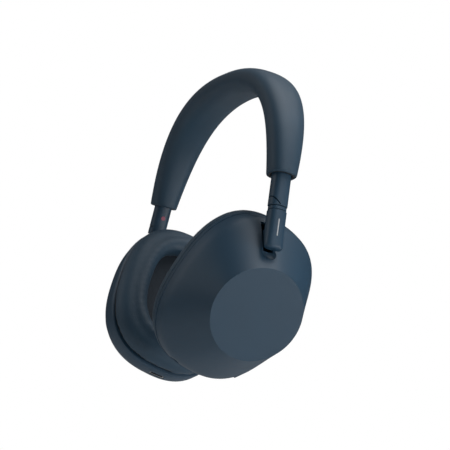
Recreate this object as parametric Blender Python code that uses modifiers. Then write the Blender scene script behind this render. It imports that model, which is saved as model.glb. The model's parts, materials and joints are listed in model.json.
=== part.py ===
"""Wireless over-ear headphones, modelled piece by piece.

Metres, +Z up. +X is the wearer's left, -Y the wearer's front. The origin is the middle of the
headband's padded underside, where the head or a stand holds the object up. Every piece of the two
sides is built by the same functions, with side +1 for the left and -1 for the right.
"""

from math import copysign, cos, pi, radians, sin

import bmesh
import bpy
from mathutils import Matrix, Vector

MM = 0.001
GAP = 0.3 * MM  # free space kept between pieces that touch on the real object
SIDES = {"left": 1, "right": -1}

# Headband sleeve: its centre line is one Bezier curve from each sleeve end to the crown.
SLEEVE_END_X = 75.9 * MM
SLEEVE_END_Z = -54.8 * MM
CROWN_Z = 6.2 * MM
END_HANDLE = 30.2 * MM
CROWN_HANDLE = 59.5 * MM
HALF_WIDTHS = (7.3 * MM, 11.1 * MM, 12.0 * MM)  # fore and aft, at the end, midway and at the crown
HALF_THICKNESSES = (7.6 * MM, 7.25 * MM, 6.2 * MM)
SLEEVE_WALL = 0.9 * MM
SLEEVE_POWER = 2.5  # the sections are superellipses
COLLAR_LENGTH = 2.2 * MM
CORE_START = 0.46  # how far along the curve the spring and foam begin, clear of the sliders

# Slider arms: straight bars that leave the sleeve ends going down and a little outward.
ARM_LEAN = radians(8.1)
ARM_HALF = 4.5 * MM
ARM_HALF_FORE = 4.85 * MM
ARM_TOP = -25.0 * MM  # distances along the arm count from the sleeve's end, downward
ARM_BOTTOM = 16.8 * MM
ARM_TAPER_FROM = -3.0 * MM
ARM_TAPER = 0.16  # the outer face's share of the distance, and the side faces' below
ARM_SIDE_TAPER = 0.03
BLADE_TOP = -33.0 * MM
RING_HEIGHT = 1.8 * MM
MARK_AT = 6.6 * MM

# Yokes: the lower stalks, which swivel on the arms and reach into the cups.
YOKE_TURNS = {1: radians(1.1), -1: radians(-1.8)}  # how far each side stands swivelled
YOKE_BOTTOM = 39.4 * MM
PIN_ALONG = 33.0 * MM
PIN_INWARD = 18.5 * MM
PIN_RADIUS = 1.2 * MM
SHAFT_RADIUS = 1.8 * MM
FIN_TOP = 27.0 * MM  # the fin that reaches from the yoke into the cup
FIN_BOTTOM = 36.2 * MM
FIN_BEYOND_PIN = 3.0 * MM
FIN_HALF_FORE = 1.9 * MM
NOTCH_TOP = 22.4 * MM
NOTCH_BOTTOM = 39.6 * MM
NOTCH_HALF_FORE = 2.8 * MM

# Ear cups: a full oval wall at the seam, then a cone that narrows to a round flat face.
CUP_ALONG = 54.1 * MM  # the seam's centre, from the sleeve's end along the turned arm,
CUP_INWARD = 42.0 * MM  # inward across it
CUP_AFT = 2.0 * MM  # and to the back
CUP_TILT = radians(23.7)
CUP_LEAN = radians(-14.5)
CUP_HALF_HEIGHT = 44.7 * MM
CUP_HALF_DEPTH = 35.1 * MM
CUP_WIDTH = 34.0 * MM  # from the seam plane to the flat face
CUP_POWER = 2.5  # the seam is a superellipse
FACE_HALF_HEIGHT = 24.7 * MM
FACE_HALF_DEPTH = 24.8 * MM
FACE_RISE = 2.3 * MM
SHOULDER_AT = 0.23  # where the wall turns into the cone, as a share of the width
SHOULDER_ROUND = 0.12
SHELL_WALL = 3.0 * MM
CUSHION_THICKNESS = 15.6 * MM
OPENING_HALF_HEIGHT = 29.4 * MM
OPENING_HALF_DEPTH = 20.6 * MM
DRIVER_HOLE = 18.4 * MM

# Ports and buttons: their angle round the cup's edge from the back, and distance out of the seam.
JACK_ANGLE = radians(-100)
USB_ANGLE = radians(-85)
POWER_ANGLE = radians(-42)
MODE_ANGLE = radians(-20)
PORT_AT = 4.3 * MM
BUTTON_AT = 4.3 * MM

MATERIALS = {
    "leatherette": ((0.045, 0.065, 0.090), 0.62, 0.0),
    "shell_plastic": ((0.050, 0.072, 0.100), 0.48, 0.0),
    "dark_plastic": ((0.015, 0.018, 0.022), 0.5, 0.0),
    "spring_steel": ((0.55, 0.56, 0.58), 0.3, 1.0),
    "foam": ((0.12, 0.12, 0.13), 0.9, 0.0),
    "mesh_cloth": ((0.02, 0.022, 0.026), 0.9, 0.0),
    "driver_film": ((0.25, 0.25, 0.27), 0.35, 0.0),
    "magnet": ((0.35, 0.35, 0.36), 0.35, 1.0),
    "board": ((0.02, 0.12, 0.07), 0.5, 0.0),
    "battery_wrap": ((0.10, 0.22, 0.45), 0.4, 0.0),
    "mark_red": ((0.55, 0.10, 0.12), 0.5, 0.0),
    "mark_grey": ((0.35, 0.37, 0.40), 0.5, 0.0),
    "socket_metal": ((0.45, 0.46, 0.48), 0.3, 1.0),
}


# ---------------------------------------------------------------- scene and helper functions


def clear_scene():
    for obj in list(bpy.data.objects):
        bpy.data.objects.remove(obj, do_unlink=True)


def new_collection(name):
    collection = bpy.data.collections.new(name)
    bpy.context.scene.collection.children.link(collection)
    return collection


def new_material(name):
    color, roughness, metallic = MATERIALS[name]
    material = bpy.data.materials.new(name)
    material.use_nodes = True
    shader = material.node_tree.nodes["Principled BSDF"]
    shader.inputs["Base Color"].default_value = (*color, 1.0)
    shader.inputs["Roughness"].default_value = roughness
    shader.inputs["Metallic"].default_value = metallic
    return material


def new_joint(name, point, parent=None):
    """An empty on a joint's axis. Every frame stays unturned, so places are plain differences."""
    empty = bpy.data.objects.new(name, None)
    empty.empty_display_size = 5 * MM
    empty["point"] = list(point)
    empty.parent = parent
    empty.location = point - (Vector(parent["point"]) if parent else Vector())
    parts.objects.link(empty)
    return empty


def new_piece(name, material, joint, bm=None, smooth=True):
    """The object for one piece, whose mesh is given in world coordinates."""
    mesh = bpy.data.meshes.new(name)
    if bm:
        if joint:
            bmesh.ops.translate(bm, verts=bm.verts, vec=-Vector(joint["point"]))
        for face in bm.faces:
            face.smooth = smooth
        bm.to_mesh(mesh)
        bm.free()
    piece = bpy.data.objects.new(name, mesh)
    piece.parent = joint
    parts.objects.link(piece)
    piece.data.materials.append(materials[material])
    return piece


def new_cutter(name, bm):
    mesh = bpy.data.meshes.new(name)
    bm.to_mesh(mesh)
    bm.free()
    cutter = bpy.data.objects.new(name, mesh)
    cutter.hide_render = True
    cutter.display_type = "WIRE"
    cutters.objects.link(cutter)
    return cutter


def cut(piece, cutter):
    modifier = piece.modifiers.new(cutter.name, "BOOLEAN")
    modifier.operation = "DIFFERENCE"
    modifier.solver = "EXACT"
    modifier.object = cutter


def join(piece, addition):
    modifier = piece.modifiers.new(addition.name, "BOOLEAN")
    modifier.operation = "UNION"
    modifier.solver = "EXACT"
    modifier.object = addition


def round_edges(piece, width, segments=2):
    modifier = piece.modifiers.new("rounded edges", "BEVEL")
    modifier.width = width
    modifier.segments = segments
    modifier.limit_method = "ANGLE"
    modifier.angle_limit = radians(40)


def outline(centre, first, second, half_first, half_second, count, power=2.0):
    """Points round a superellipse whose half axes lie along two unit vectors."""
    points = []
    for i in range(count):
        angle = 2 * pi * i / count
        across = copysign(abs(cos(angle)) ** (2 / power), cos(angle))
        along = copysign(abs(sin(angle)) ** (2 / power), sin(angle))
        points.append(centre + first * (half_first * across) + second * (half_second * along))
    return points


def loft(rings, looped=False):
    """A closed skin through outlines of equal count, capped at both ends or joined into a loop."""
    bm = bmesh.new()
    rows = [[bm.verts.new(point) for point in ring] for ring in rings]
    pairs = list(zip(rows, rows[1:]))
    if looped:
        pairs.append((rows[-1], rows[0]))
    else:
        bm.faces.new(rows[0])
        bm.faces.new(rows[-1])
    for lower, upper in pairs:
        for i in range(len(lower)):
            j = (i + 1) % len(lower)
            bm.faces.new((lower[i], lower[j], upper[j], upper[i]))
    bmesh.ops.recalc_face_normals(bm, faces=bm.faces)
    return bm


def axes_matrix(origin, x_axis, z_axis):
    """A right-handed frame with these two axes."""
    y_axis = z_axis.cross(x_axis).normalized()
    matrix = Matrix((x_axis, y_axis, z_axis)).transposed().to_4x4()
    matrix.translation = origin
    return matrix


def box(matrix, size_x, size_y, size_z):
    bm = bmesh.new()
    scale = Matrix.Diagonal((size_x, size_y, size_z, 1.0))
    bmesh.ops.create_cube(bm, size=1.0, matrix=matrix @ scale)
    return bm


def rod(start, end, radius, segments=20):
    bm = bmesh.new()
    along = end - start
    turn = along.to_track_quat("Z", "Y").to_matrix().to_4x4()
    matrix = Matrix.Translation((start + end) / 2) @ turn
    bmesh.ops.create_cone(
        bm,
        cap_ends=True,
        segments=segments,
        radius1=radius,
        radius2=radius,
        depth=along.length,
        matrix=matrix,
    )
    return bm


def turned(name, material, joint, matrix, profile, closed, steps=28):
    """A turned piece: its profile of (radius, height) at +X, run top to bottom, and a Screw."""
    piece = new_piece(name, material, joint)
    points = [(radius, 0.0, height) for radius, height in profile]
    edges = [(i, i + 1) for i in range(len(points) - 1)]
    if closed:
        edges.append((len(points) - 1, 0))
    piece.data.from_pydata(points, edges, [])
    screw = piece.modifiers.new("turn", "SCREW")
    screw.axis = "Z"
    screw.steps = steps
    screw.render_steps = steps
    screw.use_merge_vertices = True
    screw.merge_threshold = 1e-6
    screw.use_smooth_shade = True
    place = matrix.copy()
    place.translation -= Vector(joint["point"])
    piece.matrix_local = place
    return piece


# ---------------------------------------------------------------- shared geometry


def mirrored(side, vector):
    return Vector((side * vector[0], vector[1], vector[2]))


def between(values, along):
    """The quadratic through three values at 0, 0.5 and 1."""
    first, middle, last = values
    return (
        first * (1 - along) * (1 - 2 * along)
        + middle * 4 * along * (1 - along)
        + last * along * (2 * along - 1)
    )


def sleeve_centre(along):
    """A point of the centre line on the left, along 0 at the sleeve's end and 1 at the crown."""
    start = Vector((SLEEVE_END_X, 0, SLEEVE_END_Z))
    points = (
        start,
        start + Vector((-sin(ARM_LEAN), 0, cos(ARM_LEAN))) * END_HANDLE,
        Vector((CROWN_HANDLE, 0, CROWN_Z)),
        Vector((0, 0, CROWN_Z)),
    )
    rest = 1 - along
    weights = (rest**3, 3 * rest**2 * along, 3 * rest * along**2, along**3)
    return sum((point * weight for point, weight in zip(points, weights)), Vector())


def sleeve_section(along):
    """Centre, outward direction, half width and half thickness of the sleeve on the left."""
    step = 1e-4
    tangent = sleeve_centre(min(along + step, 1)) - sleeve_centre(max(along - step, 0))
    tangent.normalize()
    outward = Vector((tangent.z, 0, -tangent.x))
    half_width = between(HALF_WIDTHS, along)
    half_thickness = between(HALF_THICKNESSES, along)
    return sleeve_centre(along), outward, half_width, half_thickness


def sleeve_ring(side, along, inset, count=20, lowest=-1.0, highest=1.0, narrow=1.0):
    """An outline inside the sleeve, between two heights given as shares of its thickness."""
    centre, outward, half_width, half_thickness = sleeve_section(along)
    half_thickness -= inset
    middle = centre + outward * (half_thickness * (lowest + highest) / 2)
    return outline(
        mirrored(side, middle),
        mirrored(side, outward),
        Vector((0, 1, 0)),
        half_thickness * (highest - lowest) / 2,
        (half_width - inset) * narrow,
        count,
        SLEEVE_POWER,
    )


def whole_band(start, stations, **options):
    """Outlines from the left of the band to its right, starting this far along each half."""
    shares = [start + (1 - start) * i / stations for i in range(stations + 1)]
    left = [sleeve_ring(1, share, **options) for share in shares]
    right = [sleeve_ring(-1, share, **options) for share in shares[:-1]]
    return left + right[::-1]


def arm_axes(side, turn=0.0):
    """Unit vectors down the arm, outward across it, and fore and aft, turned about the arm."""
    down = Vector((sin(ARM_LEAN), 0, -cos(ARM_LEAN)))
    across = Vector((cos(ARM_LEAN), 0, sin(ARM_LEAN)))
    aft = Vector((0, 1, 0))
    outward = across * cos(turn) + aft * sin(turn)
    sideways = aft * cos(turn) - across * sin(turn)
    return [mirrored(side, vector) for vector in (down, outward, sideways)]


def arm_point(side, along, outward=0.0, sideways=0.0, turn=0.0):
    axes = arm_axes(side, turn)
    end = mirrored(side, Vector((SLEEVE_END_X, 0, SLEEVE_END_Z)))
    return end + axes[0] * along + axes[1] * outward + axes[2] * sideways


def arm_ring(side, along, inner, outer, half_fore, turn=0.0, count=20, power=SLEEVE_POWER):
    """An outline square to the arm, from inner to outer across it."""
    axes = arm_axes(side, turn)
    centre = arm_point(side, along, (inner + outer) / 2, turn=turn)
    return outline(centre, axes[1], axes[2], (outer - inner) / 2, half_fore, count, power)


def cup_axes(side):
    """Unit vectors out of the cup's flat face, to its back and up its long axis."""
    turn = Matrix.Rotation(YOKE_TURNS[side], 3, "Z")
    tilt = Matrix.Rotation(CUP_TILT, 3, "Y")
    lean = Matrix.Rotation(CUP_LEAN, 3, "X")
    rotation = turn @ tilt @ lean
    return [mirrored(side, rotation.col[i]) for i in range(3)]


def cup_point(side, outward, aft=0.0, up=0.0):
    axes = cup_axes(side)
    centre = arm_point(side, CUP_ALONG, -CUP_INWARD, CUP_AFT, YOKE_TURNS[side])
    return centre + axes[0] * outward + axes[1] * aft + axes[2] * up


def cup_matrix(side, outward, aft=0.0, up=0.0):
    """A frame on the cup: X towards the back, Z out of the flat face."""
    axes = cup_axes(side)
    return axes_matrix(cup_point(side, outward, aft, up), axes[1], axes[0])


def cup_ring(side, outward, half_height, half_depth, rise=0.0, count=36, power=CUP_POWER):
    axes = cup_axes(side)
    centre = cup_point(side, outward, 0.0, rise)
    return outline(centre, axes[1], axes[2], half_depth, half_height, count, power)


def fullness(share):
    """1 where the shell is as wide as its wall and 0 at its face."""
    rounds = [
        (reach + (reach**2 + SHOULDER_ROUND**2) ** 0.5)
        for reach in ((share - SHOULDER_AT) / (1 - SHOULDER_AT), 1.0)
    ]
    return 1 - rounds[0] / rounds[1]


def shell_ring(side, share, inset=0.0, count=36):
    """An outline of the shell at a share of its width: full at the seam, round at the face."""
    full = fullness(share)
    width = CUP_WIDTH - inset
    face_inset = inset / 2
    half_height = FACE_HALF_HEIGHT - face_inset
    half_height += (CUP_HALF_HEIGHT - inset - half_height) * full
    half_depth = FACE_HALF_DEPTH - face_inset
    half_depth += (CUP_HALF_DEPTH - inset - half_depth) * full
    power = 2 + (CUP_POWER - 2) * full
    return cup_ring(side, share * width, half_height, half_depth, FACE_RISE * share, count, power)


def rim_matrix(side, angle, outward):
    """A frame on the shell's edge: Z leaves the shell, X runs round the edge."""
    axes = cup_axes(side)
    full = fullness(outward / CUP_WIDTH)
    half_height = FACE_HALF_HEIGHT + (CUP_HALF_HEIGHT - FACE_HALF_HEIGHT) * full
    half_depth = FACE_HALF_DEPTH + (CUP_HALF_DEPTH - FACE_HALF_DEPTH) * full
    rise = FACE_RISE * outward / CUP_WIDTH
    power = 2 + (CUP_POWER - 2) * full
    reach_aft = copysign(abs(cos(angle)) ** (2 / power), cos(angle))
    reach_up = copysign(abs(sin(angle)) ** (2 / power), sin(angle))
    slope_aft = copysign(abs(reach_aft) ** (power - 1), reach_aft) / half_depth
    slope_up = copysign(abs(reach_up) ** (power - 1), reach_up) / half_height
    radial = (axes[1] * slope_aft + axes[2] * slope_up).normalized()
    round_edge = axes[0].cross(radial).normalized()
    place = cup_point(side, outward, half_depth * reach_aft, half_height * reach_up + rise)
    return axes_matrix(place, round_edge, radial)


# ---------------------------------------------------------------- headband


def make_cover():
    start = 0.028  # leaves room for the collar
    outer = whole_band(start, 15, inset=0.0)
    inner = whole_band(start, 15, inset=SLEEVE_WALL)
    new_piece("headband_cover", "leatherette", None, loft(outer + inner[::-1], looped=True))


def make_band_core():
    spring = whole_band(CORE_START, 15, inset=2.2 * MM, count=12, lowest=0.4, highest=0.65, narrow=0.7)
    new_piece("headband_spring", "spring_steel", None, loft(spring))
    foam = whole_band(CORE_START, 15, inset=1.5 * MM, count=16, lowest=-1.0, highest=0.1, narrow=0.74)
    new_piece("headband_foam", "foam", None, loft(foam))


def make_sleeve_end(name, side):
    """The collar that closes the sleeve's end round the arm, and the guide behind it."""
    half_fore, _, _ = HALF_WIDTHS
    half, _, _ = HALF_THICKNESSES
    hole, hole_fore = ARM_HALF + 0.7 * MM, ARM_HALF_FORE + 0.7 * MM
    edge = 0.7 * MM
    rings = [
        arm_ring(side, -COLLAR_LENGTH, -half, half, half_fore),
        arm_ring(side, -edge, -half, half, half_fore),
        arm_ring(side, 0.0, edge - half, half - edge, half_fore - edge),
        arm_ring(side, 0.0, -hole, hole, hole_fore),
        arm_ring(side, -COLLAR_LENGTH, -hole, hole, hole_fore),
    ]
    new_piece(f"end_collar_{name}", "dark_plastic", None, loft(rings, looped=True))
    top, bottom = -9.0 * MM, -2.6 * MM
    bore, bore_fore = ARM_HALF + 0.25 * MM, ARM_HALF_FORE + 0.25 * MM
    wall = 0.9 * MM
    rings = [
        arm_ring(side, top, -bore - wall, bore + wall, bore_fore + wall),
        arm_ring(side, bottom, -bore - wall, bore + wall, bore_fore + wall),
        arm_ring(side, bottom, -bore, bore, bore_fore),
        arm_ring(side, top, -bore, bore, bore_fore),
    ]
    new_piece(f"slider_guide_{name}", "dark_plastic", None, loft(rings, looped=True))


# ---------------------------------------------------------------- slider arm and yoke


def make_arm(name, side, joint):
    rings = []
    for along in (ARM_TOP, -18 * MM, -10 * MM, ARM_TAPER_FROM, 6 * MM, ARM_BOTTOM):
        above = max(0.0, ARM_TAPER_FROM - along)
        half_fore = ARM_HALF_FORE - ARM_SIDE_TAPER * above
        rings.append(arm_ring(side, along, -ARM_HALF, ARM_HALF - ARM_TAPER * above, half_fore))
    arm = new_piece(f"slider_arm_{name}", "shell_plastic", joint, loft(rings))
    bore = rod(arm_point(side, 8 * MM), arm_point(side, ARM_BOTTOM + 5 * MM), SHAFT_RADIUS + GAP)
    cut(arm, new_cutter(f"arm_bore_{name}", bore))
    seat = rod(
        arm_point(side, MARK_AT, -ARM_HALF - 2 * MM),
        arm_point(side, MARK_AT, 0.7 * MM - ARM_HALF),
        1.5 * MM,
        16,
    )
    cut(arm, new_cutter(f"mark_seat_{name}", seat))
    mark = rod(
        arm_point(side, MARK_AT, 0.4 * MM - ARM_HALF),
        arm_point(side, MARK_AT, -0.05 * MM - ARM_HALF),
        1.2 * MM,
        16,
    )
    color = "mark_red" if side < 0 else "mark_grey"
    new_piece(f"side_mark_{name}", color, joint, mark, smooth=False)
    axes = arm_axes(side)
    middle = arm_point(side, (BLADE_TOP + ARM_TOP - GAP) / 2, -3.7 * MM)
    length = ARM_TOP - GAP - BLADE_TOP
    blade = box(axes_matrix(middle, axes[1], axes[0]), 1.0 * MM, 5.0 * MM, length)
    new_piece(f"slider_blade_{name}", "spring_steel", joint, blade, smooth=False)


def yoke_inner(along):
    """How far the yoke's bar reaches inward: it thins towards its end, clear of the cup."""
    thin_from, thinning = 29.0 * MM, 0.24
    return ARM_HALF - thinning * max(0.0, along - thin_from)


def make_yoke(name, side, joint):
    top = ARM_BOTTOM + RING_HEIGHT + 2 * GAP
    turn = YOKE_TURNS[side]
    rings = []
    for along in (top, 29 * MM, 33 * MM, 37 * MM):
        rings.append(arm_ring(side, along, -yoke_inner(along), ARM_HALF, ARM_HALF_FORE, turn))
    for below, trim in ((1.1 * MM, 0.1 * MM), (0.4 * MM, 0.5 * MM), (0.0, 1.2 * MM)):
        along = YOKE_BOTTOM - below
        inner = trim - yoke_inner(along)
        rings.append(arm_ring(side, along, inner, ARM_HALF - trim, ARM_HALF_FORE - trim, turn))
    yoke = new_piece(f"yoke_{name}", "shell_plastic", joint, loft(rings))
    axes = arm_axes(side, turn)
    fin_inner, fin_outer = -PIN_INWARD - FIN_BEYOND_PIN, -2.4 * MM
    middle = arm_point(side, (FIN_TOP + FIN_BOTTOM) / 2, (fin_inner + fin_outer) / 2, turn=turn)
    place = axes_matrix(middle, axes[1], axes[0])
    fin = box(place, fin_outer - fin_inner, 2 * FIN_HALF_FORE, FIN_BOTTOM - FIN_TOP)
    join(yoke, new_cutter(f"fin_{name}", fin))
    bore = rod(arm_point(side, top - 5 * MM), arm_point(side, 27.3 * MM), SHAFT_RADIUS + GAP)
    cut(yoke, new_cutter(f"yoke_bore_{name}", bore))
    hole = rod(
        arm_point(side, PIN_ALONG, -PIN_INWARD, -20 * MM, turn),
        arm_point(side, PIN_ALONG, -PIN_INWARD, 20 * MM, turn),
        PIN_RADIUS + GAP,
    )
    cut(yoke, new_cutter(f"pin_hole_{name}", hole))
    ring_top, ring_bottom = ARM_BOTTOM + GAP, ARM_BOTTOM + GAP + RING_HEIGHT
    inset = 0.35 * MM
    hub = SHAFT_RADIUS + GAP
    rings = [
        arm_ring(side, ring_top, inset - ARM_HALF, ARM_HALF - inset, ARM_HALF_FORE - inset),
        arm_ring(side, ring_bottom, inset - ARM_HALF, ARM_HALF - inset, ARM_HALF_FORE - inset),
        arm_ring(side, ring_bottom, -hub, hub, hub, power=2.0),
        arm_ring(side, ring_top, -hub, hub, hub, power=2.0),
    ]
    new_piece(f"swivel_ring_{name}", "dark_plastic", joint, loft(rings, looped=True))
    shaft = rod(arm_point(side, 8.4 * MM), arm_point(side, 27 * MM), SHAFT_RADIUS)
    new_piece(f"swivel_shaft_{name}", "spring_steel", joint, shaft)


# ---------------------------------------------------------------- ear cup


def make_trunnion(name, side, joint):
    """The bracket inside the cup whose two ears hold the tilt pin."""
    axes = arm_axes(side, YOKE_TURNS[side])
    inner, outer = -PIN_INWARD - 6.6 * MM, -PIN_INWARD + 2.2 * MM
    slot_half, ear = FIN_HALF_FORE + GAP, 1.8 * MM
    middle = arm_point(side, PIN_ALONG, (inner + outer) / 2, turn=YOKE_TURNS[side])
    place = axes_matrix(middle, axes[1], axes[0])
    bracket = new_piece(
        f"trunnion_{name}",
        "dark_plastic",
        joint,
        box(place, outer - inner, 2 * (slot_half + ear), 6.4 * MM),
        smooth=False,
    )
    slot_inner = -PIN_INWARD - 4.2 * MM
    slot_middle = arm_point(side, PIN_ALONG, slot_inner + 10 * MM, turn=YOKE_TURNS[side])
    slot = box(axes_matrix(slot_middle, axes[1], axes[0]), 20 * MM, 2 * slot_half, 40 * MM)
    cut(bracket, new_cutter(f"trunnion_slot_{name}", slot))
    cut(bracket, bpy.data.objects[f"pin_hole_{name}"])
    pin = rod(
        arm_point(side, PIN_ALONG, -PIN_INWARD, -slot_half - ear, YOKE_TURNS[side]),
        arm_point(side, PIN_ALONG, -PIN_INWARD, slot_half + ear, YOKE_TURNS[side]),
        PIN_RADIUS,
        16,
    )
    new_piece(f"tilt_pin_{name}", "spring_steel", joint, pin)


def make_outer_shell(name, side, joint):
    """The domed shell with its flat round face, notched where the yoke enters."""
    shares = (0.03, 0.09, 0.15, 0.2, 0.25, 0.3, 0.37, 0.47, 0.6, 0.8, 1.0)
    inner = [shell_ring(side, share, SHELL_WALL) for share in reversed(shares)]
    outer = [shell_ring(side, share) for share in shares]
    shell = new_piece(f"outer_shell_{name}", "shell_plastic", joint, loft(inner + outer))
    axes = arm_axes(side, YOKE_TURNS[side])
    reach, depth = 3.0 * MM, 26.0 * MM
    notch_along = (NOTCH_TOP + NOTCH_BOTTOM) / 2
    notch_middle = arm_point(side, notch_along, reach - depth / 2, turn=YOKE_TURNS[side])
    place = axes_matrix(notch_middle, axes[1], axes[0])
    notch = box(place, depth, 2 * NOTCH_HALF_FORE, NOTCH_BOTTOM - NOTCH_TOP)
    cut(shell, new_cutter(f"notch_{name}", notch))
    dimple = bmesh.new()
    dimple_middle = arm_point(side, YOKE_BOTTOM - 1.2 * MM, 2.4 * MM, turn=YOKE_TURNS[side])
    place = axes_matrix(dimple_middle, axes[1], axes[0])
    place = place @ Matrix.Diagonal((7.0 * MM, 7.0 * MM, 6.8 * MM, 1))
    bmesh.ops.create_uvsphere(dimple, u_segments=24, v_segments=14, radius=1.0, matrix=place)
    cut(shell, new_cutter(f"dimple_{name}", dimple))
    return shell


def make_inner_shell(name, side, joint):
    """The baffle plate with the seam's rim round it and the driver's hole in it."""
    low, high = -2.2 * MM, 0.7 * MM
    edge = 0.6 * MM
    height, depth = CUP_HALF_HEIGHT, CUP_HALF_DEPTH
    rings = [
        cup_ring(side, low, height - edge, depth - edge),
        cup_ring(side, (low + high) / 2, height, depth),
        cup_ring(side, high, height - edge / 2, depth - edge / 2),
        cup_ring(side, high, DRIVER_HOLE, DRIVER_HOLE, power=2.0),
        cup_ring(side, low, DRIVER_HOLE, DRIVER_HOLE, power=2.0),
    ]
    plate = new_piece(f"inner_shell_{name}", "shell_plastic", joint, loft(rings, looped=True))
    for number, (aft, up) in enumerate(((0, 24.5), (-9.5, -23), (9.5, -23)), 1):
        start = cup_point(side, low + 0.1 * MM, aft * MM, up * MM)
        end = cup_point(side, 6 * MM, aft * MM, up * MM)
        hole_start = cup_point(side, -5 * MM, aft * MM, up * MM)
        hole_end = cup_point(side, 5 * MM, aft * MM, up * MM)
        hole_rod = rod(hole_start, hole_end, 1.8 * MM, 12)
        cut(plate, new_cutter(f"screw_hole_{number}_{name}", hole_rod))
        screw = rod(start, end, 1.5 * MM, 12)
        new_piece(f"baffle_screw_{number}_{name}", "spring_steel", joint, screw)


def make_cushion(name, side, joint):
    """The soft oval cushion, the ring it clips on with, and the cloth over its opening."""
    back = -3.7 * MM
    high, deep = CUP_HALF_HEIGHT, CUP_HALF_DEPTH
    open_high, open_deep = OPENING_HALF_HEIGHT, OPENING_HALF_DEPTH
    face = -CUSHION_THICKNESS
    profile = (
        (back, high - 1.6 * MM, deep - 1.6 * MM),
        (-8.0 * MM, high - 1.3 * MM, deep - 1.4 * MM),
        (-12.0 * MM, high - 2.8 * MM, deep - 3.0 * MM),
        (face + 1.0 * MM, high - 5.7 * MM, deep - 5.8 * MM),
        (face, high - 9.6 * MM, deep - 9.6 * MM),
        (face + 0.3 * MM, open_high + 3.0 * MM, open_deep + 3.2 * MM),
        (face + 2.2 * MM, open_high + 0.6 * MM, open_deep + 0.6 * MM),
        (-9.0 * MM, open_high, open_deep),
        (back, open_high + 0.2 * MM, open_deep + 0.2 * MM),
    )
    rings = [cup_ring(side, outward, height, depth) for outward, height, depth in profile]
    new_piece(f"ear_cushion_{name}", "leatherette", joint, loft(rings, looped=True))
    low, high = -3.4 * MM, -2.5 * MM
    rings = [
        cup_ring(side, low, 43 * MM, 34 * MM),
        cup_ring(side, high, 43 * MM, 34 * MM),
        cup_ring(side, high, open_high + 0.8 * MM, open_deep + 0.8 * MM),
        cup_ring(side, low, open_high + 0.8 * MM, open_deep + 0.8 * MM),
    ]
    new_piece(f"cushion_ring_{name}", "dark_plastic", joint, loft(rings, looped=True))
    rings = [
        cup_ring(side, low + 0.1 * MM, open_high + 0.4 * MM, open_deep + 0.4 * MM),
        cup_ring(side, high, open_high + 0.4 * MM, open_deep + 0.4 * MM),
    ]
    new_piece(f"acoustic_cloth_{name}", "mesh_cloth", joint, loft(rings))


def make_driver(name, side, joint):
    place = cup_matrix(side, 0.0)
    basket = ((11.2, 5.5), (13.0, 5.5), (18.0, 1.5), (18.0, -1.9), (15.2, -1.9), (15.2, 1.0))
    dome = ((0.0, 2.4), (7.0, 2.0), (14.8, 0.3), (14.8, -0.2), (7.0, 1.5), (0.0, 1.9))
    magnet = ((0.0, 10.0), (10.8, 10.0), (10.8, 3.5), (0.0, 3.5))
    turned_pieces = (
        ("driver_frame", "dark_plastic", basket, True),
        ("driver_dome", "driver_film", dome, False),
        ("driver_magnet", "magnet", magnet, False),
    )
    for word, material, profile, closed in turned_pieces:
        sized = [(radius * MM, height * MM) for radius, height in profile]
        turned(f"{word}_{name}", material, joint, place, sized, closed)


def make_electronics(name, side, joint, shell):
    board = box(cup_matrix(side, 14 * MM, 0.0, -6 * MM), 34 * MM, 40 * MM, 1.2 * MM)
    new_piece(f"circuit_board_{name}", "board", joint, board, smooth=False)
    if name == "right":
        cell = box(cup_matrix(side, 19.5 * MM, 0.0, -4 * MM), 26 * MM, 36 * MM, 7 * MM)
        battery = new_piece("battery_right", "battery_wrap", joint, cell, smooth=False)
        round_edges(battery, 1.5 * MM)
    place = rim_matrix(side, USB_ANGLE if name == "right" else JACK_ANGLE, PORT_AT)
    if name == "right":
        opening = box(place, 9.0 * MM, 3.2 * MM, 16 * MM)
        inset = place @ Matrix.Translation((0, 0, -3.2 * MM))
        body = box(inset, 8.4 * MM, 2.6 * MM, 5.2 * MM)
        socket = new_piece("usb_socket", "socket_metal", joint, body, smooth=False)
        mouth = box(place @ Matrix.Translation((0, 0, -1.6 * MM)), 7.2 * MM, 1.4 * MM, 4 * MM)
        cut(socket, new_cutter("usb_mouth", mouth))
    else:
        start, end = place @ Vector((0, 0, 8 * MM)), place @ Vector((0, 0, -8 * MM))
        opening = rod(start, end, 2.9 * MM)
        start, end = place @ Vector((0, 0, -0.7 * MM)), place @ Vector((0, 0, -12 * MM))
        body = rod(start, end, 2.6 * MM)
        socket = new_piece("headphone_jack", "socket_metal", joint, body)
        start, end = place @ Vector((0, 0, 3 * MM)), place @ Vector((0, 0, -9 * MM))
        cut(socket, new_cutter("jack_mouth", rod(start, end, 1.8 * MM)))
    cut(shell, new_cutter(f"port_opening_{name}", opening))


def make_buttons(side, joint, shell):
    """Two press buttons on the back edge of the left cup."""
    for name, angle in (("power_button", POWER_ANGLE), ("mode_button", MODE_ANGLE)):
        place = rim_matrix(side, angle, BUTTON_AT)
        button_joint = new_joint(f"{name}_joint", place.translation, joint)
        cap = box(place @ Matrix.Translation((0, 0, -1.6 * MM)), 9 * MM, 3.6 * MM, 4.6 * MM)
        button = new_piece(name, "shell_plastic", button_joint, cap)
        round_edges(button, 0.6 * MM)
        well = box(place, 9 * MM + 2 * GAP, 3.6 * MM + 2 * GAP, 16 * MM)
        cut(shell, new_cutter(f"{name}_well", well))


# ---------------------------------------------------------------- assembly


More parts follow.
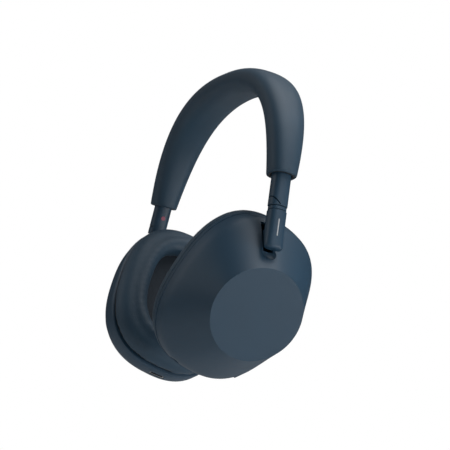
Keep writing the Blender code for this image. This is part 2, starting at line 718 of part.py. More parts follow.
def make_side(name, side):
    make_sleeve_end(name, side)
    arm_joint = new_joint(f"arm_{name}_joint", arm_point(side, 0.0))
    make_arm(name, side, arm_joint)
    yoke_joint = new_joint(f"yoke_{name}_joint", arm_point(side, ARM_BOTTOM), arm_joint)
    make_yoke(name, side, yoke_joint)
    pin_point = arm_point(side, PIN_ALONG, -PIN_INWARD, turn=YOKE_TURNS[side])
    cup_joint = new_joint(f"cup_{name}_joint", pin_point, yoke_joint)
    make_trunnion(name, side, cup_joint)
    shell = make_outer_shell(name, side, cup_joint)
    make_inner_shell(name, side, cup_joint)
    make_cushion(name, side, cup_joint)
    make_driver(name, side, cup_joint)
    make_electronics(name, side, cup_joint, shell)
    if name == "left":
        make_buttons(side, cup_joint, shell)


clear_scene()
parts = new_collection("over_ear_headphones")
cutters = new_collection("cutters")
materials = {name: new_material(name) for name in MATERIALS}
make_cover()
make_band_core()
for side_name, side_sign in SIDES.items():
    make_side(side_name, side_sign)
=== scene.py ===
"""Looks of the over-ear headphones: fine meshes, materials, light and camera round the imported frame.

Metres, in the CAD frame: +Z up, +X the wearer's left, -Y the wearer's front, and the origin in the
middle of the headband's padded underside. Side +1 is the left and -1 the right.
"""

import json
from math import copysign, cos, pi, radians, sin

import bmesh
import bpy
from mathutils import Matrix, Vector


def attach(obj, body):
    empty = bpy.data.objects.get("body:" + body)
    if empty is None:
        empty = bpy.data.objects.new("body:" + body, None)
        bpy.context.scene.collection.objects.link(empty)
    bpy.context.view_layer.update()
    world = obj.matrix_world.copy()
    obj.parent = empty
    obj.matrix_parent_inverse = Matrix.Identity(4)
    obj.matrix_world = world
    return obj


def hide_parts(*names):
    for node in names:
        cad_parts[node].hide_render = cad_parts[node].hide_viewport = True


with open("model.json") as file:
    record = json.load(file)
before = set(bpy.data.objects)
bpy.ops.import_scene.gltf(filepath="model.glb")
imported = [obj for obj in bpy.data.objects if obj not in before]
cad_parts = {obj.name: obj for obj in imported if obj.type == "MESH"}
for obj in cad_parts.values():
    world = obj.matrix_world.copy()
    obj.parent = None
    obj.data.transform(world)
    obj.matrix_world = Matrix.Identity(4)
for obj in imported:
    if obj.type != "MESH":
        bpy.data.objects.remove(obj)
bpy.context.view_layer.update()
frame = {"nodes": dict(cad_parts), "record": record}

MM = 0.001
SIDES = {"left": 1, "right": -1}

# The driving sizes of the frame that the fine pieces follow.
SLEEVE_END_X = 75.9 * MM
SLEEVE_END_Z = -54.8 * MM
CROWN_Z = 6.2 * MM
END_HANDLE = 30.2 * MM
CROWN_HANDLE = 59.5 * MM
HALF_WIDTHS = (7.3 * MM, 11.1 * MM, 12.0 * MM)
HALF_THICKNESSES = (7.6 * MM, 7.25 * MM, 6.2 * MM)
SLEEVE_WALL = 0.9 * MM
SECTION_POWER = 2.5
ARM_LEAN = radians(8.1)
ARM_HALF = 4.5 * MM
ARM_HALF_FORE = 4.85 * MM
ARM_TOP = -25.0 * MM
ARM_BOTTOM = 16.8 * MM
ARM_TAPER_FROM = -3.0 * MM
ARM_TAPER = 0.16
ARM_SIDE_TAPER = 0.03
RING_TOP = 17.1 * MM
RING_BOTTOM = 18.9 * MM
YOKE_TOP = 19.2 * MM
YOKE_TURNS = {1: radians(1.1), -1: radians(-1.8)}
YOKE_BOTTOM = 39.4 * MM
FIN_TOP = 27.0 * MM
FIN_BOTTOM = 36.2 * MM
FIN_INNER = -21.5 * MM
FIN_HALF_FORE = 1.9 * MM
FIN_OUTER = -2.4 * MM  # inside the bar, so that the two join
FIN_EDGE = 0.5 * MM
NOTCH_TOP = 22.4 * MM
NOTCH_BOTTOM = 39.6 * MM
NOTCH_HALF_FORE = 2.8 * MM
NOTCH_INNER = -23 * MM
NOTCH_OUTER = 3 * MM
DIMPLE_ABOVE_END = 1.2 * MM
DIMPLE_OUTWARD = 2.4 * MM
DIMPLE_RADII = (7.0 * MM, 7.0 * MM, 6.8 * MM)
GROOVE_ENDS = ((11.6 * MM, -5.6 * MM), (16.4 * MM, -0.6 * MM))  # down the arm, and sideways
GROOVE_DEPTH_CENTRE = 2.0 * MM
GROOVE_HALF_DEPTH = 4.5 * MM
GROOVE_HALF_WIDTH = 0.3 * MM
BAR_TOP = 24.0 * MM
BAR_BOTTOM = 33.0 * MM
BAR_HALF_WIDTH = 0.35 * MM
BAR_HALF_DEPTH = 0.16 * MM
BAR_SUNK = 0.12 * MM
BAR_SIDEWAYS = -0.4 * MM
CUP_ALONG = 54.1 * MM
CUP_INWARD = 42.0 * MM
CUP_AFT = 2.0 * MM
CUP_TILT = radians(23.7)
CUP_LEAN = radians(-14.5)
CUP_HALF_HEIGHT = 44.7 * MM
CUP_HALF_DEPTH = 35.1 * MM
CUP_WIDTH = 34.0 * MM
CUP_POWER = 2.5
FACE_HALF_HEIGHT = 24.7 * MM
FACE_HALF_DEPTH = 24.8 * MM
FACE_RISE = 2.3 * MM
SHOULDER_AT = 0.23
SHOULDER_ROUND = 0.12
SHELL_WALL = 3.0 * MM
CUSHION_THICKNESS = 15.6 * MM
OPENING_HALF_HEIGHT = 29.4 * MM
OPENING_HALF_DEPTH = 20.6 * MM
DRIVER_HOLE = 18.4 * MM
BAFFLE_LOW = -2.2 * MM
BAFFLE_HIGH = 0.7 * MM
JACK_ANGLE = radians(-100)
USB_ANGLE = radians(-85)
POWER_ANGLE = radians(-42)
MODE_ANGLE = radians(-20)
PORT_AT = 4.3 * MM
USB_HALF_SIZES = (4.5 * MM, 1.6 * MM)
JACK_RADIUS = 2.9 * MM
WELL_HALF_SIZES = (4.8 * MM, 2.1 * MM)
CUT_REACH = 8 * MM
PUFF_VOXEL = 1.6 * MM
PUFF_SWELL = 1.2 * MM
PUFF_FRAMES = 20

SKIN = (0.011, 0.041, 0.074)
SHELL = (0.011, 0.042, 0.078)


# ---------------------------------------------------------------- materials


def new_material(name):
    """A material with a Principled shader, and short ways to add and join its nodes."""
    material = bpy.data.materials.new(name)
    material.use_nodes = True
    return material, material.node_tree.nodes, material.node_tree.links


def add_node(nodes, kind, **values):
    node = nodes.new(kind)
    for key, value in values.items():
        if hasattr(node, key):
            setattr(node, key, value)
        else:
            node.inputs[key.replace("_", " ")].default_value = value
    return node


def grained(name, color, roughness, grain, depth, mottle=0.08, speck=None, **sockets):
    """A moulded or coated surface: cloudy colour and gloss, and a fine grain of its own scale.

    grain is the grain's size in metres, and speck swaps its noise for leather-like cells.
    """
    material, nodes, links = new_material(name)
    shader = nodes["Principled BSDF"]
    shader.inputs["Metallic"].default_value = sockets.pop("metallic", 0.0)
    for key, value in sockets.items():
        shader.inputs[key.replace("_", " ")].default_value = value
    place = add_node(nodes, "ShaderNodeTexCoord")
    clouds = add_node(nodes, "ShaderNodeTexNoise", Scale=55.0, Detail=4.0, Roughness=0.55)
    links.new(place.outputs["Object"], clouds.inputs["Vector"])
    tint = add_node(nodes, "ShaderNodeValToRGB")
    tint.color_ramp.elements[0].position = 0.3
    tint.color_ramp.elements[1].position = 0.7
    tint.color_ramp.elements[0].color = (*[c * (1 - mottle) for c in color], 1)
    tint.color_ramp.elements[1].color = (*[c * (1 + mottle) for c in color], 1)
    links.new(clouds.outputs["Fac"], tint.inputs["Fac"])
    links.new(tint.outputs["Color"], shader.inputs["Base Color"])
    if speck:
        cells = add_node(nodes, "ShaderNodeTexVoronoi", feature="DISTANCE_TO_EDGE", Scale=1 / grain)
        links.new(place.outputs["Object"], cells.inputs["Vector"])
        heights = add_node(nodes, "ShaderNodeMapRange")
        heights.inputs["From Max"].default_value = 0.22
        links.new(cells.outputs["Distance"], heights.inputs["Value"])
        height = heights.outputs["Result"]
    else:
        cells = add_node(nodes, "ShaderNodeTexNoise", Scale=1 / grain, Detail=3.0, Roughness=0.6)
        links.new(place.outputs["Object"], cells.inputs["Vector"])
        height = cells.outputs["Fac"]
    gloss = add_node(nodes, "ShaderNodeMapRange")
    gloss.inputs["To Min"].default_value = roughness - 0.05
    gloss.inputs["To Max"].default_value = roughness + 0.05
    links.new(height, gloss.inputs["Value"])
    links.new(gloss.outputs["Result"], shader.inputs["Roughness"])
    bump = add_node(nodes, "ShaderNodeBump", Strength=1.0, Distance=depth)
    links.new(height, bump.inputs["Height"])
    links.new(bump.outputs["Normal"], shader.inputs["Normal"])
    return material


def woven(name, color, pitch, depth):
    """Fine knitted mesh: crossing threads with dark holes between them."""
    material, nodes, links = new_material(name)
    shader = nodes["Principled BSDF"]
    shader.inputs["Roughness"].default_value = 0.85
    shader.inputs["Sheen Weight"].default_value = 0.02
    place = add_node(nodes, "ShaderNodeTexCoord")
    threads = []
    for direction in ("Y", "Z"):
        wave = add_node(nodes, "ShaderNodeTexWave", bands_direction=direction)
        wave.inputs["Scale"].default_value = 0.314 / pitch
        wave.inputs["Distortion"].default_value = 0.0
        links.new(place.outputs["Object"], wave.inputs["Vector"])
        threads.append(wave.outputs["Fac"])
    cloth = add_node(nodes, "ShaderNodeMath", operation="MULTIPLY")
    links.new(threads[0], cloth.inputs[0])
    links.new(threads[1], cloth.inputs[1])
    tint = add_node(nodes, "ShaderNodeValToRGB")
    tint.color_ramp.elements[0].color = (*[c * 1.3 for c in color], 1)
    tint.color_ramp.elements[1].color = (*[c * 0.25 for c in color], 1)
    links.new(cloth.outputs["Value"], tint.inputs["Fac"])
    links.new(tint.outputs["Color"], shader.inputs["Base Color"])
    bump = add_node(nodes, "ShaderNodeBump", Strength=1.0, Distance=depth, invert=True)
    links.new(cloth.outputs["Value"], bump.inputs["Height"])
    links.new(bump.outputs["Normal"], shader.inputs["Normal"])
    return material


def make_materials():
    fine = 0.35 * MM
    return {
        "leatherette": grained(
            "leatherette", SKIN, 0.56, 0.7 * MM, 0.03 * MM, 0.06, True, Sheen_Weight=0.04
        ),
        "shell_plastic": grained("shell_plastic", SHELL, 0.50, fine, 0.008 * MM, 0.04),
        "dark_plastic": grained("dark_plastic", (0.014, 0.017, 0.022), 0.5, fine, 0.01 * MM),
        "spring_steel": grained(
            "spring_steel", (0.42, 0.43, 0.45), 0.32, 0.2 * MM, 0.004 * MM, metallic=1.0
        ),
        "foam": grained("foam", (0.10, 0.10, 0.11), 0.9, 0.8 * MM, 0.15 * MM, speck=True),
        "mesh_cloth": woven("mesh_cloth", (0.008, 0.015, 0.024), 0.7 * MM, 0.1 * MM),
        "driver_film": grained("driver_film", (0.22, 0.22, 0.24), 0.35, fine, 0.01 * MM),
        "magnet": grained("magnet", (0.3, 0.3, 0.31), 0.35, fine, 0.004 * MM, metallic=1.0),
        "board": grained("board", (0.015, 0.10, 0.06), 0.45, 0.6 * MM, 0.02 * MM, 0.2),
        "battery_wrap": grained("battery_wrap", (0.08, 0.18, 0.38), 0.4, 2 * MM, 0.03 * MM),
        "mark_red": grained("mark_red", (0.30, 0.055, 0.105), 0.5, fine, 0.01 * MM),
        "mark_grey": grained("mark_grey", (0.42, 0.44, 0.46), 0.5, fine, 0.01 * MM),
        "socket_metal": grained(
            "socket_metal", (0.35, 0.36, 0.38), 0.3, fine, 0.004 * MM, metallic=1.0
        ),
    }


# ---------------------------------------------------------------- mesh helpers


def outline(centre, first, second, half_first, half_second, count, power=2.0):
    """Points round a superellipse whose half axes lie along two unit vectors."""
    points = []
    for i in range(count):
        angle = 2 * pi * i / count
        across = copysign(abs(cos(angle)) ** (2 / power), cos(angle))
        along = copysign(abs(sin(angle)) ** (2 / power), sin(angle))
        points.append(centre + first * (half_first * across) + second * (half_second * along))
    return points


def loft(rings, looped=False):
    """A closed skin through outlines of equal count, capped at both ends or joined into a loop."""
    bm = bmesh.new()
    rows = [[bm.verts.new(point) for point in ring] for ring in rings]
    pairs = list(zip(rows, rows[1:]))
    if looped:
        pairs.append((rows[-1], rows[0]))
    else:
        bm.faces.new(rows[0])
        bm.faces.new(rows[-1])
    for lower, upper in pairs:
        for i in range(len(lower)):
            j = (i + 1) % len(lower)
            bm.faces.new((lower[i], lower[j], upper[j], upper[i]))
    bmesh.ops.recalc_face_normals(bm, faces=bm.faces)
    return bm


def through(points, steps, closed=False):
    """A smooth Catmull-Rom run through tuples of numbers, with this many steps a span."""
    count = len(points)
    spans = count if closed else count - 1
    run = []
    for i in range(spans):
        near = [points[(i + k) % count] if closed else points[min(max(i + k, 0), count - 1)]
                for k in (-1, 0, 1, 2)]
        for step in range(steps):
            t = step / steps
            weights = (
                -0.5 * t + t**2 - 0.5 * t**3,
                1 - 2.5 * t**2 + 1.5 * t**3,
                0.5 * t + 2 * t**2 - 1.5 * t**3,
                -0.5 * t**2 + 0.5 * t**3,
            )
            values = zip(*near)
            run.append(tuple(sum(w * v for w, v in zip(weights, value)) for value in values))
    if not closed:
        run.append(points[-1])
    return run


def new_object(name, bm):
    mesh = bpy.data.meshes.new(name)
    bm.to_mesh(mesh)
    bm.free()
    piece = bpy.data.objects.new(name, mesh)
    bpy.context.scene.collection.objects.link(piece)
    return piece


def finish_piece(piece, body, slot, replaces=(), sharp=35):
    """Smooth shading with true edges, the slot's material, and the body that the piece rides on."""
    for face in piece.data.polygons:
        face.use_smooth = True
    piece.data.set_sharp_from_angle(angle=radians(sharp))
    piece.data.materials.clear()
    piece.data.materials.append(materials[slot])
    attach(piece, body)
    if replaces:
        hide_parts(*replaces)
    return piece


def bake(piece):
    """The piece's mesh as its modifiers leave it."""
    graph = bpy.context.evaluated_depsgraph_get()
    mesh = bpy.data.meshes.new_from_object(piece.evaluated_get(graph))
    piece.modifiers.clear()
    piece.data = mesh


def combine(piece, bm, operation):
    """Joins a closed shape to the piece, or cuts it out."""
    other = new_object("other", bm)
    modifier = piece.modifiers.new("combine", "BOOLEAN")
    modifier.operation = operation
    modifier.solver = "EXACT"
    modifier.object = other
    bake(piece)
    bpy.data.objects.remove(other, do_unlink=True)


def cut(piece, bm):
    combine(piece, bm, "DIFFERENCE")


def join(piece, bm):
    combine(piece, bm, "UNION")


# ---------------------------------------------------------------- shared geometry


def mirrored(side, vector):
    return Vector((side * vector[0], vector[1], vector[2]))


def between(values, along):
    """The quadratic through three values at 0, 0.5 and 1."""
    first, middle, last = values
    return (
        first * (1 - along) * (1 - 2 * along)
        + middle * 4 * along * (1 - along)
        + last * along * (2 * along - 1)
    )


def sleeve_centre(along):
    start = Vector((SLEEVE_END_X, 0, SLEEVE_END_Z))
    points = (
        start,
        start + Vector((-sin(ARM_LEAN), 0, cos(ARM_LEAN))) * END_HANDLE,
        Vector((CROWN_HANDLE, 0, CROWN_Z)),
        Vector((0, 0, CROWN_Z)),
    )
    rest = 1 - along
    weights = (rest**3, 3 * rest**2 * along, 3 * rest * along**2, along**3)
    return sum((point * weight for point, weight in zip(points, weights)), Vector())


def sleeve_ring(side, along, inset, count=56):
    step = 1e-4
    tangent = sleeve_centre(min(along + step, 1)) - sleeve_centre(max(along - step, 0))
    tangent.normalize()
    outward = mirrored(side, Vector((tangent.z, 0, -tangent.x)))
    centre = mirrored(side, sleeve_centre(along))
    half_width = between(HALF_WIDTHS, along) - inset
    half_thickness = between(HALF_THICKNESSES, along) - inset
    fore = Vector((0, 1, 0))
    return outline(centre, outward, fore, half_thickness, half_width, count, SECTION_POWER)


def arm_axes(side, turn=0.0):
    """Unit vectors down the arm, outward across it, and fore and aft, turned about the arm."""
    down = Vector((sin(ARM_LEAN), 0, -cos(ARM_LEAN)))
    across = Vector((cos(ARM_LEAN), 0, sin(ARM_LEAN)))
    aft = Vector((0, 1, 0))
    outward = across * cos(turn) + aft * sin(turn)
    sideways = aft * cos(turn) - across * sin(turn)
    return [mirrored(side, vector) for vector in (down, outward, sideways)]


def arm_point(side, along, outward=0.0, sideways=0.0, turn=0.0):
    axes = arm_axes(side, turn)
    end = mirrored(side, Vector((SLEEVE_END_X, 0, SLEEVE_END_Z)))
    return end + axes[0] * along + axes[1] * outward + axes[2] * sideways


def arm_ring(side, along, inner, outer, half_fore, turn=0.0, count=56, power=SECTION_POWER):
    axes = arm_axes(side, turn)
    centre = arm_point(side, along, (inner + outer) / 2, turn=turn)
    return outline(centre, axes[1], axes[2], (outer - inner) / 2, half_fore, count, power)


def cup_axes(side):
    """Unit vectors out of the cup's flat face, to its back and up its long axis."""
    turn = Matrix.Rotation(YOKE_TURNS[side], 3, "Z")
    tilt = Matrix.Rotation(CUP_TILT, 3, "Y")
    lean = Matrix.Rotation(CUP_LEAN, 3, "X")
    rotation = turn @ tilt @ lean
    return [mirrored(side, rotation.col[i]) for i in range(3)]


def cup_point(side, outward, aft=0.0, up=0.0):
    axes = cup_axes(side)
    centre = arm_point(side, CUP_ALONG, -CUP_INWARD, CUP_AFT, YOKE_TURNS[side])
    return centre + axes[0] * outward + axes[1] * aft + axes[2] * up


def cup_ring(side, outward, half_height, half_depth, rise=0.0, power=CUP_POWER, count=128):
    axes = cup_axes(side)
    centre = cup_point(side, outward, 0.0, rise)
    return outline(centre, axes[1], axes[2], half_depth, half_height, count, power)


def fullness(share):
    """1 where the shell is as wide as its wall and 0 at its face, with a soft shoulder."""
    rounds = [
        (reach + (reach**2 + SHOULDER_ROUND**2) ** 0.5)
        for reach in ((share - SHOULDER_AT) / (1 - SHOULDER_AT), 1.0)
    ]
    return 1 - rounds[0] / rounds[1]


def shell_ring(side, share, inset=0.0):
    """An outline of the shell at a share of its width: full at the seam, round at the face."""
    full = fullness(share)
    face_inset = inset / 2
    half_height = FACE_HALF_HEIGHT - face_inset
    half_height += (CUP_HALF_HEIGHT - inset - half_height) * full
    half_depth = FACE_HALF_DEPTH - face_inset
    half_depth += (CUP_HALF_DEPTH - inset - half_depth) * full
    width = CUP_WIDTH - inset
    power = 2 + (CUP_POWER - 2) * full
    return cup_ring(side, share * width, half_height, half_depth, FACE_RISE * share, power)


def rim_matrix(side, angle, outward):
    """A frame on the shell's edge: Z leaves the shell, X runs round the edge."""
    axes = cup_axes(side)
    full = fullness(outward / CUP_WIDTH)
    half_height = FACE_HALF_HEIGHT + (CUP_HALF_HEIGHT - FACE_HALF_HEIGHT) * full
    half_depth = FACE_HALF_DEPTH + (CUP_HALF_DEPTH - FACE_HALF_DEPTH) * full
    rise = FACE_RISE * outward / CUP_WIDTH
    power = 2 + (CUP_POWER - 2) * full
    reach_aft = copysign(abs(cos(angle)) ** (2 / power), cos(angle))
    reach_up = copysign(abs(sin(angle)) ** (2 / power), sin(angle))
    slope_aft = copysign(abs(reach_aft) ** (power - 1), reach_aft) / half_depth
    slope_up = copysign(abs(reach_up) ** (power - 1), reach_up) / half_height
    radial = (axes[1] * slope_aft + axes[2] * slope_up).normalized()
    round_edge = axes[0].cross(radial).normalized()
    place = Matrix((round_edge, radial.cross(round_edge), radial)).transposed().to_4x4()
    place.translation = cup_point(side, outward, half_depth * reach_aft,
                                  half_height * reach_up + rise)
    return place


def prism(place, half_x, half_y, low, high, power=4.0, count=48):
    """A rounded prism along the frame's Z, used to cut ports and wells."""
    x_axis, y_axis, z_axis = (place.col[k].to_3d().normalized() for k in range(3))
    rings = [
        outline(place.translation + z_axis * at, x_axis, y_axis, half_x, half_y, count, power)
        for at in (low, high)
    ]
    return loft(rings)


# ---------------------------------------------------------------- headband


def make_sleeve():
    """The padded sleeve, one skin from mouth to mouth, with rounded lips round the arms."""
    stations = 44
    shares = [(i / stations) for i in range(stations + 1)]
    outer_left = [sleeve_ring(1, max(share, 0.012), 0.0) for share in shares]
    outer_right = [sleeve_ring(-1, max(share, 0.012), 0.0) for share in shares[:-1]]
    inner_left = [sleeve_ring(1, max(share, 0.02), SLEEVE_WALL) for share in shares]
    inner_right = [sleeve_ring(-1, max(share, 0.02), SLEEVE_WALL) for share in shares[:-1]]
    rings = mouth_rings(1) + outer_left + outer_right[::-1]
    rings += mouth_rings(-1)[::-1] + inner_right + inner_left[::-1]
    sleeve = new_object("headband_sleeve", loft(rings, looped=True))
    finish_piece(sleeve, "headband", "leatherette", ("headband_cover",), sharp=60)


def mouth_rings(side):
    """From inside the sleeve's mouth out over its rounded lip."""
    half, fore = HALF_THICKNESSES[0], HALF_WIDTHS[0]
    rings = []
    for along, inset in ((-2.4, 1.3), (-0.3, 1.3), (0.05, 1.0), (0.1, 0.6), (-0.1, 0.2), (-0.45, 0.0)):
        inner = inset * MM - half
        rings.append(arm_ring(side, along * MM, inner, half - inset * MM, fore - inset * MM))
    return rings


# ---------------------------------------------------------------- slider arm and yoke


def make_arm(name, side):
    rings = []
    upper = [ARM_TOP + (ARM_TAPER_FROM - ARM_TOP) * step / 6 for step in range(7)]
    for along in (*upper, 2 * MM, 7 * MM, 12 * MM, ARM_BOTTOM - 0.3 * MM):
        above = max(0.0, ARM_TAPER_FROM - along)
        half_fore = ARM_HALF_FORE - ARM_SIDE_TAPER * above
        rings.append(arm_ring(side, along, -ARM_HALF, ARM_HALF - ARM_TAPER * above, half_fore))
    trim = 0.25 * MM
    rings.append(arm_ring(side, ARM_BOTTOM, trim - ARM_HALF, ARM_HALF - trim, ARM_HALF_FORE - trim))
    arm = new_object(f"arm_{name}_body", loft(rings))
    cut(arm, arm_groove(side))
    finish_piece(arm, f"arm_{name}", "shell_plastic", (f"slider_arm_{name}",))


def arm_groove(side):
    """A thin slab that runs down across the arm's front, where its cover ends."""
    axes = arm_axes(side)
    start, end = (
        arm_point(side, along, GROOVE_DEPTH_CENTRE, sideways) for along, sideways in GROOVE_ENDS
    )
    run = (end - start).normalized()
    across = axes[1].cross(run).normalized()
    rings = [
        outline(point, axes[1], across, GROOVE_HALF_DEPTH, GROOVE_HALF_WIDTH, 32, 8.0)
        for point in (start, end)
    ]
    return loft(rings)


def yoke_inner(along):
    """How far the yoke's bar reaches inward: it thins towards its end, clear of the cup."""
    thin_from, thinning = 29.0 * MM, 0.24
    return ARM_HALF - thinning * max(0.0, along - thin_from)


def make_yoke(name, side):
    turn = YOKE_TURNS[side]
    rings = []
    lip = 0.25 * MM
    rings.append(
        arm_ring(side, YOKE_TOP, lip - ARM_HALF, ARM_HALF - lip, ARM_HALF_FORE - lip, turn)
    )
    steps = 14
    start, end = YOKE_TOP + lip, YOKE_BOTTOM - 1.3 * MM
    for i in range(steps + 1):
        along = start + (end - start) * i / steps
        rings.append(arm_ring(side, along, -yoke_inner(along), ARM_HALF, ARM_HALF_FORE, turn))
    for below, trim in ((0.9, 0.12), (0.5, 0.35), (0.2, 0.75), (0.05, 1.15), (0.0, 1.6)):
        along = YOKE_BOTTOM - below * MM
        inner, outer = trim * MM - yoke_inner(along), ARM_HALF - trim * MM
        rings.append(arm_ring(side, along, inner, outer, ARM_HALF_FORE - trim * MM, turn))
    yoke = new_object(f"yoke_{name}_body", loft(rings))
    fin = []
    for along, trim in ((FIN_TOP, FIN_EDGE), (FIN_TOP + FIN_EDGE, 0.0),
                        (FIN_BOTTOM - FIN_EDGE, 0.0), (FIN_BOTTOM, FIN_EDGE)):
        inner, half = FIN_INNER + trim, FIN_HALF_FORE - trim
        fin.append(arm_ring(side, along, inner, FIN_OUTER, half, turn, power=8.0))
    join(yoke, loft(fin))
    finish_piece(yoke, f"yoke_{name}", "shell_plastic", (f"yoke_{name}",))
    inset = 0.3 * MM
    edge = 0.2 * MM
    hub = 2.1 * MM
    rings = []
    for along, extra in ((RING_TOP, edge), (RING_TOP + edge, 0), (RING_BOTTOM - edge, 0),
                         (RING_BOTTOM, edge)):
        half = ARM_HALF - inset - extra
        rings.append(arm_ring(side, along, -half, half, ARM_HALF_FORE - inset - extra))
    rings.append(arm_ring(side, RING_BOTTOM, -hub, hub, hub, power=2.0))
    rings.append(arm_ring(side, RING_TOP, -hub, hub, hub, power=2.0))
    ring = new_object(f"swivel_collar_{name}", loft(rings, looped=True))
    finish_piece(ring, f"yoke_{name}", "shell_plastic", (f"swivel_ring_{name}",))
    make_bar_mark(name, side)


def make_bar_mark(name, side):
    """A plain slim bar, let into the yoke's outer face where a name would stand."""
    turn = YOKE_TURNS[side]
    rings = []
    edge = 0.2 * MM
    axes = arm_axes(side, turn)
    for along, trim in ((BAR_TOP, edge), (BAR_TOP + edge, 0.0), (BAR_BOTTOM - edge, 0.0),
                        (BAR_BOTTOM, edge)):
        centre = arm_point(side, along, ARM_HALF - BAR_SUNK, BAR_SIDEWAYS, turn)
        wide = BAR_HALF_WIDTH - trim
        rings.append(outline(centre, axes[1], axes[2], BAR_HALF_DEPTH, wide, 12, 4.0))
    mark = new_object(f"bar_mark_{name}", loft(rings))
    finish_piece(mark, f"yoke_{name}", "mark_grey")


# ---------------------------------------------------------------- ear cup


def make_shell(name, side):
    """The shell: a full wall, a soft shoulder, a cone and a crisp flat face."""
    steps = 48
    start = 0.026
    shares = [start + (1 - start) * i / steps for i in range(steps + 1)]
    inner = [shell_ring(side, share, SHELL_WALL) for share in reversed(shares[::4])]
    outer = [shell_ring(side, share) for share in shares]
    shell = new_object(f"shell_{name}", loft(inner + outer))
    turn = YOKE_TURNS[side]
    notch = [
        arm_ring(side, along, NOTCH_INNER, NOTCH_OUTER, NOTCH_HALF_FORE, turn, power=9.0)
        for along in (NOTCH_TOP, NOTCH_BOTTOM)
    ]
    cut(shell, loft(notch))
    cut(shell, dimple(side))
    for place, half_x, half_y, power in shell_openings(side):
        cut(shell, prism(place, half_x, half_y, -CUT_REACH, CUT_REACH, power))
    finish_piece(shell, f"cup_{name}", "shell_plastic", (f"outer_shell_{name}",), sharp=24)


def shell_openings(side):
    """The port's mouth, and on the left the two buttons' wells, as frames and half sizes."""
    if side < 0:
        return [(rim_matrix(side, USB_ANGLE, PORT_AT), *USB_HALF_SIZES, 5.0)]
    jack = (rim_matrix(side, JACK_ANGLE, PORT_AT), JACK_RADIUS, JACK_RADIUS, 2.0)
    return [jack] + [(rim_matrix(side, angle, PORT_AT), *WELL_HALF_SIZES, 6.0)
                     for angle in (POWER_ANGLE, MODE_ANGLE)]


def dimple(side):
    """The rounded hollow that lets the yoke's end sink into the shell as the cup tilts."""
    turn = YOKE_TURNS[side]
    axes = arm_axes(side, turn)
    centre = arm_point(side, YOKE_BOTTOM - DIMPLE_ABOVE_END, DIMPLE_OUTWARD, turn=turn)
    place = Matrix((axes[1], axes[2], axes[0])).transposed().to_4x4()
    place.translation = centre
    place = place @ Matrix.Diagonal((*DIMPLE_RADII, 1))
    bm = bmesh.new()
    bmesh.ops.create_icosphere(bm, subdivisions=5, radius=1.0, matrix=place)
    bmesh.ops.recalc_face_normals(bm, faces=bm.faces)
    return bm


def make_inner_shell(name, side):
    height, depth = CUP_HALF_HEIGHT, CUP_HALF_DEPTH
    profile = ((-2.2, 0.5), (-2.05, 0.2), (-1.6, 0.02), (-0.4, 0.0), (0.4, 0.0), (0.8, 0.0))
    rings = [
        cup_ring(side, outward * MM, height - inset * MM, depth - inset * MM)
        for outward, inset in profile
    ]
    rings.append(cup_ring(side, BAFFLE_HIGH, DRIVER_HOLE, DRIVER_HOLE, power=2.0))
    rings.append(cup_ring(side, BAFFLE_LOW, DRIVER_HOLE, DRIVER_HOLE, power=2.0))
    plate = new_object(f"seam_shell_{name}", loft(rings, looped=True))
    finish_piece(plate, f"cup_{name}", "shell_plastic", (f"inner_shell_{name}",))


def make_cushion(name, side):
    """The soft oval ring: two rolls with a shallow valley, puffed up by the cloth solver."""
    back = -2.7
    face = -CUSHION_THICKNESS / MM
    high, deep = CUP_HALF_HEIGHT / MM, CUP_HALF_DEPTH / MM
    open_high, open_deep = OPENING_HALF_HEIGHT / MM, OPENING_HALF_DEPTH / MM
    profile = (
        (back, high - 0.7, deep - 0.7),
        (-4.4, high - 0.3, deep - 0.3),
        (-7.4, high - 0.8, deep - 0.8),
        (-9.9, high - 1.9, deep - 1.9),
        (-11.9, high - 3.8, deep - 3.8),
        (-13.0, high - 6.0, deep - 6.0),
        (-13.2, high - 7.8, deep - 7.8),
        (face + 0.8, high - 9.6, deep - 9.5),
        (face + 0.1, high - 11.8, deep - 11.6),
        (face + 0.9, open_high + 0.9, open_deep + 0.7),
        (face + 3.2, open_high - 0.9, open_deep - 1.2),
        (-8.6, open_high - 0.9, open_deep - 1.2),
        (back, open_high + 0.2, open_deep + 0.2),
    )
    rings = [
        cup_ring(side, outward * MM, height * MM, depth * MM)
        for outward, height, depth in through(profile, 3, closed=False)
    ]
    cushion = new_object(f"cushion_{name}", loft(rings, looped=True))
    puff(cushion, PUFF_VOXEL, PUFF_SWELL)
    press_back(cushion, side, back * MM)
    finish_piece(cushion, f"cup_{name}", "leatherette", (f"ear_cushion_{name}",), sharp=80)


def puff(piece, voxel, swell):
    """Cloth pressed from inside; no point moves further than swell from where it started."""
    remesh = piece.modifiers.new("even", "REMESH")
    remesh.mode = "VOXEL"
    remesh.voxel_size = voxel
    bake(piece)
    start = [vertex.co.copy() for vertex in piece.data.vertices]
    cloth = piece.modifiers.new("cloth", "CLOTH")
    cloth.settings.use_pressure = True
    cloth.settings.uniform_pressure_force = 4.0
    cloth.settings.effector_weights.gravity = 0.0
    for frame_number in range(1, PUFF_FRAMES + 1):
        bpy.context.scene.frame_set(frame_number)
    bake(piece)
    bpy.context.scene.frame_set(1)
    for vertex, from_here in zip(piece.data.vertices, start):
        moved = vertex.co - from_here
        if moved.length > swell:
            vertex.co = from_here + moved.normalized() * swell
    smooth = piece.modifiers.new("even_out", "SMOOTH")
    smooth.iterations = 4
    finer = piece.modifiers.new("finer", "SUBSURF")
    finer.levels = finer.render_levels = 1
    bake(piece)


def press_back(cushion, side, back):
    """The cushion's back lies flat against its ring, however far the skin swelled."""
    axis = cup_axes(side)[0]
    base = cup_point(side, 0.0)
    for vertex in cushion.data.vertices:
        beyond = (vertex.co - base).dot(axis) - back
        if beyond > 0:
            vertex.co -= axis * beyond


# ---------------------------------------------------------------- camera, light and floor


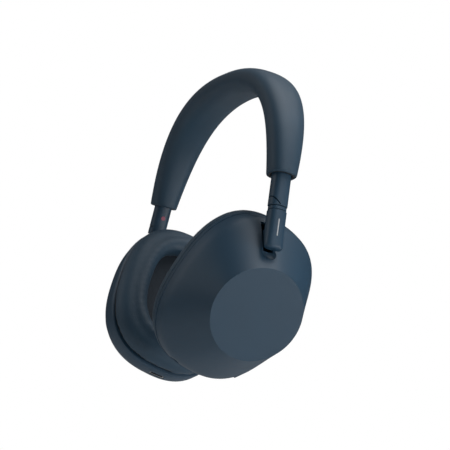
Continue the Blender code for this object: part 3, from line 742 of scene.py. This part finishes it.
def set_camera():
    """Below and in front of the left cup, turned a little, with a long lens."""
    turn, rise, roll = radians(66.67), radians(-11.01), radians(11.29)
    back = Vector((sin(turn) * cos(rise), -cos(turn) * cos(rise), sin(rise)))
    level = Vector((cos(turn), sin(turn), 0))
    upright = back.cross(level)
    right = level * cos(roll) + upright * sin(roll)
    up = upright * cos(roll) - level * sin(roll)
    target = Vector((17.9 * MM, 0, -74.7 * MM))
    camera = bpy.data.objects.new("camera", bpy.data.cameras.new("camera"))
    camera.data.lens = 138.8
    camera.data.sensor_width = 36
    camera.data.clip_start = 0.01
    matrix = Matrix((right, up, back)).transposed().to_4x4()
    matrix.translation = target + back * 0.92
    camera.matrix_world = matrix
    bpy.context.scene.collection.objects.link(camera)
    bpy.context.scene.camera = camera


# How far the white surround lights the object; the camera sees it fully white.
AMBIENT = 0.07

# Where each soft box stands, its width, and its power in watts.
LIGHTS = {
    "top": ((0.1, 0.1, 0.9), 0.8, 5.4),
    "high_front": ((0.6, 0.2, 0.8), 0.5, 3.8),
    "top_back": ((0.1, 0.8, 0.6), 0.7, 0.4),
    "front": ((0.95, 0.1, 0.15), 0.6, 1.2),
    "low_right": ((0.75, 0.6, -0.22), 0.25, 3.4),
    "back_left": ((-0.4, -0.8, 0.3), 0.6, 1.3),
}


def add_light(name, place, size, power):
    light = bpy.data.lights.new(name, "AREA")
    light.shape = "SQUARE"
    light.size = size
    light.energy = power
    lamp = bpy.data.objects.new(name, light)
    lamp.location = place
    aim = Vector((0, 0, -0.08)) - Vector(place)
    lamp.rotation_euler = aim.to_track_quat("-Z", "Y").to_euler()
    bpy.context.scene.collection.objects.link(lamp)


def set_studio():
    """Soft boxes, a pale floor below, and a white surround that lights the object only gently."""
    for name, (place, size, power) in LIGHTS.items():
        add_light(name, place, size, power)
    world = bpy.data.worlds.new("surround")
    bpy.context.scene.world = world
    world.use_nodes = True
    nodes, links = world.node_tree.nodes, world.node_tree.links
    background = nodes["Background"]
    background.inputs["Color"].default_value = (1, 1, 1, 1)
    path = nodes.new("ShaderNodeLightPath")
    strength = nodes.new("ShaderNodeMapRange")
    strength.inputs["To Min"].default_value = AMBIENT
    strength.inputs["To Max"].default_value = 1.0
    links.new(path.outputs["Is Camera Ray"], strength.inputs["Value"])
    links.new(strength.outputs["Result"], background.inputs["Strength"])
    bm = bmesh.new()
    bmesh.ops.create_circle(bm, cap_ends=True, segments=64, radius=3.0)
    floor = new_object("floor", bm)
    floor.location = (0, 0, -0.32)
    floor.data.materials.append(pale_floor())
    bpy.context.scene.view_settings.view_transform = "Standard"


def pale_floor():
    material = grained("pale_floor", (0.80, 0.80, 0.80), 0.7, 3 * MM, 0.05 * MM, 0.01)
    return material


materials = make_materials()
for node in frame["nodes"].values():
    slot = next(s["material_slot"] for s in frame["record"]["subparts"] if s["node"] == node.name)
    for holder in node.material_slots:
        holder.material = materials[slot]
make_sleeve()
for side_name, side_sign in SIDES.items():
    make_arm(side_name, side_sign)
    make_yoke(side_name, side_sign)
    make_shell(side_name, side_sign)
    make_inner_shell(side_name, side_sign)
    make_cushion(side_name, side_sign)
set_camera()
set_studio()
